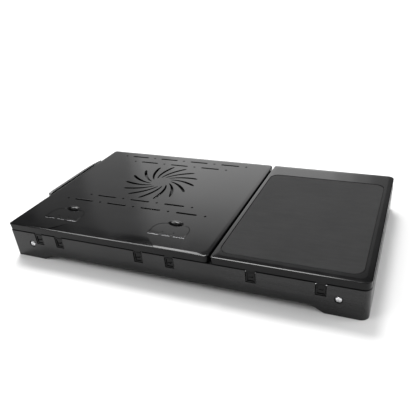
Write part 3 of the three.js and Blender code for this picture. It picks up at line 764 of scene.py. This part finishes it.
def scoop():
    """The shallow finger scoop along the front edge: a wedge with slanted ends."""
    left, right = SCOOP["ends"]
    front, back, slant = SCOOP["front"], SCOOP["back"], SCOOP["slant"]
    start_z = TOP_Z - SCOOP["deep"]
    low = [
        (left, front, start_z),
        (right, front, start_z),
        (right - slant, back, TOP_Z),
        (left + slant, back, TOP_Z),
    ]
    over = at_height([(x, y) for x, y, z in low], TOP_Z + 4 * MM)
    return loft("cutter", [low, over])


def laptop_panel(material):
    panel = panel_skin("laptop_panel_look", LAPTOP_LOW, LAPTOP_HIGH, LAPTOP_RADII, LAPTOP_FIELD)
    for i in range(1, PANEL_PINS + 1):
        add(panel, *hinge_tab(middle(f"panel_hinge_pin_{i}"), LAPTOP_LOW.z))
    over = TOP_Z + 1 * MM
    under = TOP_Z - 4 * MM
    flare = 0.3 * MM
    front = STOP_Y - STOP["lug_r"] - 0.3 * MM
    wells = []
    for end in ENDS:
        x = middle(f"laptop_stop_{end}").x
        tub = stop_outline(x, 3.4 * MM, front - 3 * MM)
        add(panel, prism(tub, TOP_Z - 6.6 * MM, TOP_Z - 1 * MM))
        wells.append(prism(stop_outline(x, 0.5 * MM, front), TOP_Z - 4.7 * MM, over, flare, TOP_Z))
    vents = [prism(outline, under, over, flare, TOP_Z) for outline in vent_outlines()]
    slots = []
    for i in range(GRILLE["slots"]):
        turn = GRILLE["first"] + 2 * math.pi * i / GRILLE["slots"]
        slots.append(prism(spiral_slot(turn), under, over, flare / 2, TOP_Z))
    inlet_x = middle("power_inlet").x
    half = 4.5 * MM
    inlet_high = (inlet_x + half, REAR_Y + 1 * MM, TOP_Z - 5 * MM)
    inlet = cuboid((inlet_x - half, REAR_Y - 4 * MM, TOP_Z - 10 * MM), inlet_high)
    cut(panel, *wells, *vents, *slots, inlet)
    cut(panel, scoop())
    shade(panel)
    stand_for(panel, "laptop_panel", material)


def mouse_panel(material):
    panel = panel_skin("mouse_panel_look", MOUSE_LOW, MOUSE_HIGH, MOUSE_RADII, MOUSE_FIELD)
    for i in range(1, LID_PINS + 1):
        add(panel, *hinge_tab(middle(f"lid_hinge_pin_{i}"), MOUSE_LOW.z))
    mat_low, mat_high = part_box("mouse_mat")
    gap = 0.8 * MM
    x0, x1, y0, y1 = mat_low.x - gap, mat_high.x + gap, mat_low.y - gap, mat_high.y + gap
    rim = 3 * MM
    recess = round_rect(x0, x1, y0, y1, 16 * MM, steps=12)
    add(panel, cuboid((x0 - rim, y0 - rim, TOP_Z - 4.2 * MM), (x1 + rim, y1 + rim, TOP_Z - 2.2 * MM)))
    cut(panel, prism(recess, TOP_Z - 1.9 * MM, TOP_Z + 1 * MM, 0.25 * MM, TOP_Z))
    shade(panel)
    stand_for(panel, "mouse_panel", material)


# the mat's rim from its foot to its face: millimetres inwards, and millimetres below the face
MAT_RIM = ((0.35, 1.3), (0, 1.0), (0, 0.55), (0.12, 0.28), (0.4, 0.1), (0.9, 0.02), (1.6, 0))


def mouse_mat(material):
    """A cut pad of cloth on foam: a rounded rim and a flat face."""
    low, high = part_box("mouse_mat")
    rings = []
    for inset, drop in MAT_RIM:
        outline = round_rect(
            low.x + inset * MM,
            high.x - inset * MM,
            low.y + inset * MM,
            high.y - inset * MM,
            (15.4 - inset) * MM,
            steps=14,
        )
        rings.append(at_height(outline, high.z - drop * MM))
    mat = loft("mouse_mat_look", rings)
    shade(mat, 50)
    stand_for(mat, "mouse_mat", material)


def laptop_stop(end, material):
    """A flap on two lugs around its steel pin, with a smooth domed grip and two dimples."""
    node = f"laptop_stop_{end}"
    top_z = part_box(node)[1].z
    x, _, pin_z = middle(f"stop_pin_{end}")
    lug_half = STOP["lug_half"]
    floor_z, face_z = STOP["floor"], STOP["face"]
    outline = stop_outline(x, 0, STOP_Y + 1.2 * MM)
    rings = [
        at_height(grow(outline, -0.3 * MM), floor_z),
        at_height(outline, floor_z + 0.3 * MM),
        at_height(outline, face_z - 0.5 * MM),
        at_height(grow(outline, -0.15 * MM), face_z - 0.15 * MM),
        at_height(grow(outline, -0.5 * MM), face_z),
    ]
    flap = loft(node + "_flap", rings)
    add(flap, dome_grip(x, STOP["grip_y"], face_z - 0.4 * MM, top_z))
    lug_profile = bar_profile(STOP["lug_r"], lug_half, 0.3 * MM)
    dimples = []
    for side in (-1, 1):
        lug_x = x + side * STOP["lug_x"]
        add(flap, turned("lug", lug_profile, (lug_x, STOP_Y, pin_z), "X", 28))
        web_high = (lug_x + lug_half, STOP_Y + 2.2 * MM, face_z - 0.2 * MM)
        add(flap, cuboid((lug_x - lug_half, STOP_Y, floor_z), web_high))
        dimple = oval(lug_x, STOP["dimple_y"], STOP["dimple_r"], STOP["dimple_r"], 16)
        dimples.append(prism(dimple, face_z - STOP["dimple_deep"], face_z + 1 * MM))
    bore = turned("bore", bar_profile(STOP["bore_r"], STOP["half"]), (x, STOP_Y, pin_z), "X", 20)
    cut(flap, bore, *dimples)
    shade(flap)
    stand_for(flap, node, material)


def dome_grip(x, y, base_z, top_z):
    """A smooth oval dome on a short skirt."""
    half_x, half_y = STOP["grip"][0] - 0.5 * MM, STOP["grip"][1] - 0.5 * MM
    steps = 36
    levels = 9
    rings = [at_height(oval(x, y, half_x, half_y, steps), base_z - 1 * MM)]
    for k in range(levels + 1):
        rise = math.sin(math.pi / 2 * k / levels)
        # the last ring is all but a point
        reach = math.sqrt(1 - rise**3) if k < levels else 0.02
        outline = oval(x, y, half_x * reach, half_y * reach, steps)
        rings.append(at_height(outline, base_z + (top_z - base_z) * rise))
    return loft("dome", rings)


# ---------- metal ----------
# a leg screw's head, the height of the head's upright rim, its shank, half the size of one arm of the cross
# recess, and the cross's turn in degrees
SCREW = {
    "head_r": 4.7 * MM,
    "head_h": 2.35 * MM,
    "rim": 0.55 * MM,
    "shank_r": 2.5 * MM,
    "recess": (2.7 * MM, 0.5 * MM, 1.3 * MM),
    "turn": 20,
}


def leg_screw(side, end, material):
    """A pan-head screw with a cross recess, its head facing out."""
    node = f"leg_screw_{side}_{end}"
    low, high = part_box(node)
    x, _, z = middle(node)
    sign = -1 if side == "front" else 1
    face = low.y if sign < 0 else high.y
    head_r, head_h, rim = SCREW["head_r"], SCREW["head_h"], SCREW["rim"]
    tip = head_h - (high.y - low.y)
    profile = [(0, tip), (SCREW["shank_r"], tip), (SCREW["shank_r"], 0.0), (head_r, 0.0), (head_r, rim)]
    steps = 8
    for i in range(1, steps + 1):
        angle = math.radians(90 * i / steps)
        r = head_r * math.cos(angle) ** 0.75 if i < steps else 0.0
        profile.append((r, rim + (head_h - rim) * math.sin(angle)))
    screw = turned(node + "_look", profile, (x, face - sign * head_h, z), "-Y" if sign < 0 else "Y", 48)
    upright = Matrix.Translation((x, face, z)) @ Matrix.Rotation(math.radians(90), 4, "X")
    half = Vector(SCREW["recess"])
    for turn in (0, 90):
        arm = cuboid(-half, half)
        arm.data.transform(upright @ Matrix.Rotation(math.radians(turn + SCREW["turn"]), 4, "Z"))
        cut(screw, arm)
    round_edges(screw, 0.12 * MM)
    stand_for(screw, node, material)


def pin(node, material):
    """A round pin with chamfered ends, along X."""
    low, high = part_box(node)
    r = (high.z - low.z) / 2
    bar = turned(node + "_look", bar_profile(r, (high.x - low.x) / 2, r * 0.3), middle(node), "X", 28)
    shade(bar, 30)
    stand_for(bar, node, material)


# ---------- drawer and fan ----------
# the grip's edges from its outside inwards: millimetres inwards, and how far top and bottom have fallen there
GRIP_FALLS = ((0, 2.2), (0.3, 1.4), (0.9, 0.95), (3, 0.6), (5.5, 0.25), (7.4, 0))


def drawer_front(material):
    """The drawer's grip: its top and bottom fall away outwards, and its ends are rounded in plan."""
    low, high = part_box("drawer_front")
    inner = high.x
    deep = high.x - low.x

    def outline(inset):
        x0 = low.x + inset
        y0, y1 = low.y + inset, high.y - inset
        points = [(inner, y0), (inner, y1)]
        # the rear end sweeps in over a long bend, and the front end over a short one
        points += bezier((inner - 0.1 * MM, y1), (x0 + 1 * MM, y1 - 14 * MM), (x0, y1 - 55 * MM))
        points += bezier((x0, y0 + 12 * MM), (x0, y0 + 1 * MM), (inner - deep * 0.6, y0))
        return points

    rings = [at_height(outline(inset * MM), low.z + fall * MM) for inset, fall in reversed(GRIP_FALLS)]
    rings += [at_height(outline(inset * MM), high.z - fall * MM) for inset, fall in GRIP_FALLS]
    front = loft("drawer_front_look", rings)
    shade(front, 45)
    stand_for(front, "drawer_front", material)


# the fan's hub, then its blades: the sweep of their tips in radians, and their chord in degrees
ROTOR = {
    "blades": 9,
    "hub_r": 17.5 * MM,
    "wall": 1.4 * MM,
    "cap": 1.5 * MM,
    "groove": 0.4 * MM,
    "tip_gap": 0.2 * MM,
    "root": 0.8 * MM,
    "sweep": 0.45,
    "chord": 40,
    "thick": 0.55 * MM,
    "camber": 0.9 * MM,
}


def hub_profile(z0, z1):
    """A cup that is open below: its ceiling, its wall, a rounded shoulder and the sunk disc on its cap."""
    r, wall, groove = ROTOR["hub_r"], ROTOR["wall"], ROTOR["groove"]
    ceiling = z1 - ROTOR["cap"]
    return [
        (0, ceiling),
        (r - wall, ceiling),
        (r - wall, z0 + 0.2 * MM),
        (r - wall + 0.2 * MM, z0),
        (r - 0.2 * MM, z0),
        (r, z0 + 0.3 * MM),
        (r, z1 - 1.2 * MM),
        (r - groove, z1 - groove),
        (r - wall, z1),
        (r - 3.2 * MM, z1),
        (r - 3.2 * MM - groove, z1 - groove),
        (0, z1 - groove),
    ]


def fan_blade(hub, tip_r, z0, z1, turn):
    """One swept and twisted blade, as cross-sections from the hub to the tip."""
    stations = 8
    points = 6
    root_r = ROTOR["hub_r"] - ROTOR["root"]
    rings = []
    for j in range(stations + 1):
        share = j / stations
        r = root_r + (tip_r - root_r) * share
        sweep = turn - ROTOR["sweep"] * share**1.3
        chord = math.radians(ROTOR["chord"] - 4 * share)
        rise = (z1 - z0 - 2.2 * MM) * (0.46 - 0.1 * share)
        ring = []
        for side in (1, -1):
            for i in range(points + 1):
                u = (i / points - 0.5) * side
                thick = ROTOR["thick"] * (1 - (2 * u) ** 4 * 0.7)
                bow = ROTOR["camber"] * (2 * u) ** 2
                z = (z0 + z1) / 2 - 0.2 * MM + rise * 2 * u + side * thick - bow
                angle = sweep + chord * u
                ring.append((hub.x + r * math.cos(angle), hub.y + r * math.sin(angle), z))
        rings.append(ring)
    return loft("blade", rings)


def fan_rotor(material):
    """A hub cap with a sunk disc, and nine swept blades that overlap seen from above."""
    low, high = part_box("fan_rotor")
    hub = middle("fan_rotor")
    hub.z = 0
    tip_r = (high.x - low.x) / 2 - ROTOR["tip_gap"]
    rotor = turned("fan_rotor_look", hub_profile(low.z, high.z), hub, "Z", 56)
    for k in range(ROTOR["blades"]):
        turn = 2 * math.pi * k / ROTOR["blades"]
        add(rotor, fan_blade(hub, tip_r, low.z, high.z, turn))
    shade(rotor)
    stand_for(rotor, "fan_rotor", material)


# ---------- light and floor ----------
# name, direction towards the sun, strength, apparent width in degrees
SUNS = (
    ("key_light", (-0.25, 0.44, 0.86), 2.0, 18),
    ("sky_light", (-0.02, 0.10, 1.0), 1.2, 80),
)
# name, span in x, span in z, y, radiance: the first five lie behind one another and together fade outwards,
# so the glossy tops show a window with soft edges
WINDOWS = (
    ("window_1", (-1.5, -0.15), (0.4, 1.55), 2.5, 0.6),
    ("window_2", (-1.8, -0.02), (0.35, 1.85), 2.51, 0.6),
    ("window_3", (-1.9, 0.1), (0.3, 2.05), 2.52, 0.5),
    ("window_4", (-2.45, 0.25), (0.2, 2.05), 2.53, 0.36),
    ("window_5", (-3.2, 0.5), (0.15, 2.0), 2.54, 0.26),
    ("front_window", (-0.9, 0.3), (1.0, 1.8), -3.0, 4.0),
)
# name, place, size, radiance
SOFTBOXES = (
    ("rim_light", (-1.38, 1.08, 1.95), (1.3, 0.5), 15.0),
    ("front_light", (-1.25, -1.4, 1.75), (1.2, 0.5), 8.0),
    ("side_light", (2.2, 0.3, 1.3), (1.6, 1.4), 4.5),
)
WORLD_GREY = 0.16
FLOOR_REACH = 40.0
FLOOR_Z = -0.3 * MM


def add_sun(name, towards, strength, width):
    light = bpy.data.lights.new(name, "SUN")
    light.energy = strength
    light.angle = math.radians(width)
    lamp = bpy.data.objects.new(name, light)
    lamp.matrix_world = Vector(towards).to_track_quat("Z", "Y").to_matrix().to_4x4()
    scene.collection.objects.link(lamp)


def add_panel_light(name, size, radiance, placing):
    """A rectangle of even light that shines along its own -Z."""
    light = bpy.data.lights.new(name, "AREA")
    light.shape = "RECTANGLE"
    light.size, light.size_y = size
    light.energy = radiance * math.pi * light.size * light.size_y
    lamp = bpy.data.objects.new(name, light)
    lamp.matrix_world = placing
    scene.collection.objects.link(lamp)


def add_window(name, x_span, z_span, y, radiance):
    """An upright light that faces the table from y."""
    place = Vector((sum(x_span) / 2, y, sum(z_span) / 2))
    turn = Matrix.Rotation(math.radians(-90 if y > 0 else 90), 4, "X")
    size = (x_span[1] - x_span[0], z_span[1] - z_span[0])
    add_panel_light(name, size, radiance, Matrix.Translation(place) @ turn)


def add_softbox(name, place, size, radiance):
    """A light that faces the table from its place."""
    place = Vector(place)
    turn = place.to_track_quat("Z", "Y").to_matrix().to_4x4()
    add_panel_light(name, size, radiance, Matrix.Translation(place) @ turn)


def add_floor():
    mesh = bpy.data.meshes.new("floor")
    r = FLOOR_REACH
    mesh.from_pydata(at_height([(-r, -r), (r, -r), (r, r), (-r, r)], FLOOR_Z), [], [(0, 1, 2, 3)])
    mesh.materials.append(pale_floor())
    link("floor", mesh)


def add_studio():
    """Suns for the white floor and its soft shadow, windows for the tops, softboxes for edges and walls."""
    add_floor()
    world = bpy.data.worlds.new("studio")
    scene.world = world
    world.use_nodes = True
    background = world.node_tree.nodes["Background"]
    background.inputs["Color"].default_value = (WORLD_GREY, WORLD_GREY, WORLD_GREY, 1)
    scene.view_settings.view_transform = "Standard"
    for sun in SUNS:
        add_sun(*sun)
    for window in WINDOWS:
        add_window(*window)
    for softbox in SOFTBOXES:
        add_softbox(*softbox)


# ---------- build ----------
add_camera()
GLOSS = gloss_black()
SATIN = satin_black()
POLISHED = satin_black("satin_polished", 0.34, 0.4, 1.9)
INNER = inner_black()
MAT = mat_grey()
RUBBER = rubber_black()
STEEL = bright_steel()
SHADED_STEEL = shaded_steel()
COPPER = motor_copper()

laptop_panel(GLOSS)
mouse_panel(GLOSS)
mouse_mat(MAT)
for end in ENDS:
    laptop_stop(end, GLOSS)
    for side in SIDES:
        leg_screw(side, end, STEEL)
    # the stop pins take the steel with painted shade
    pin(f"stop_pin_{end}", SHADED_STEEL)
for i in range(1, PANEL_PINS + 1):
    pin(f"panel_hinge_pin_{i}", STEEL)
for i in range(1, LID_PINS + 1):
    pin(f"lid_hinge_pin_{i}", STEEL)
drawer_front(POLISHED)
fan_rotor(INNER)
smoothed("prop_bail", STEEL)
smoothed("fan_lead", RUBBER)
softened("base_shell", SATIN, 0.9 * MM, 3)
INSIDE_PARTS = ["laptop_deck", "storage_bin", "side_drawer"]
INSIDE_PARTS += [f"drawer_rail_{side}" for side in SIDES]
INSIDE_PARTS += ["fan_frame"]
for node in INSIDE_PARTS:
    softened(node, INNER, 0.4 * MM)
for end in ENDS:
    softened(f"leg_crossbar_{end}", SATIN, 0.5 * MM)
    softened(f"prop_clip_{end}", INNER, 0.4 * MM)
    softened(f"prop_sleeve_{end}", RUBBER, 0.3 * MM)
    for side in SIDES:
        softened(f"leg_arm_{side}_{end}", SATIN, 0.8 * MM, 3)
        softened(f"leg_foot_{side}_{end}", RUBBER, 0.8 * MM, 3)
        softened(f"leg_nut_{side}_{end}", STEEL, 0.3 * MM)
        softened(f"fan_screw_{side}_{end}", STEEL, 0.25 * MM)
softened("fan_stator", COPPER, 0.25 * MM)
softened("power_inlet", STEEL, 0.3 * MM)

add_studio()
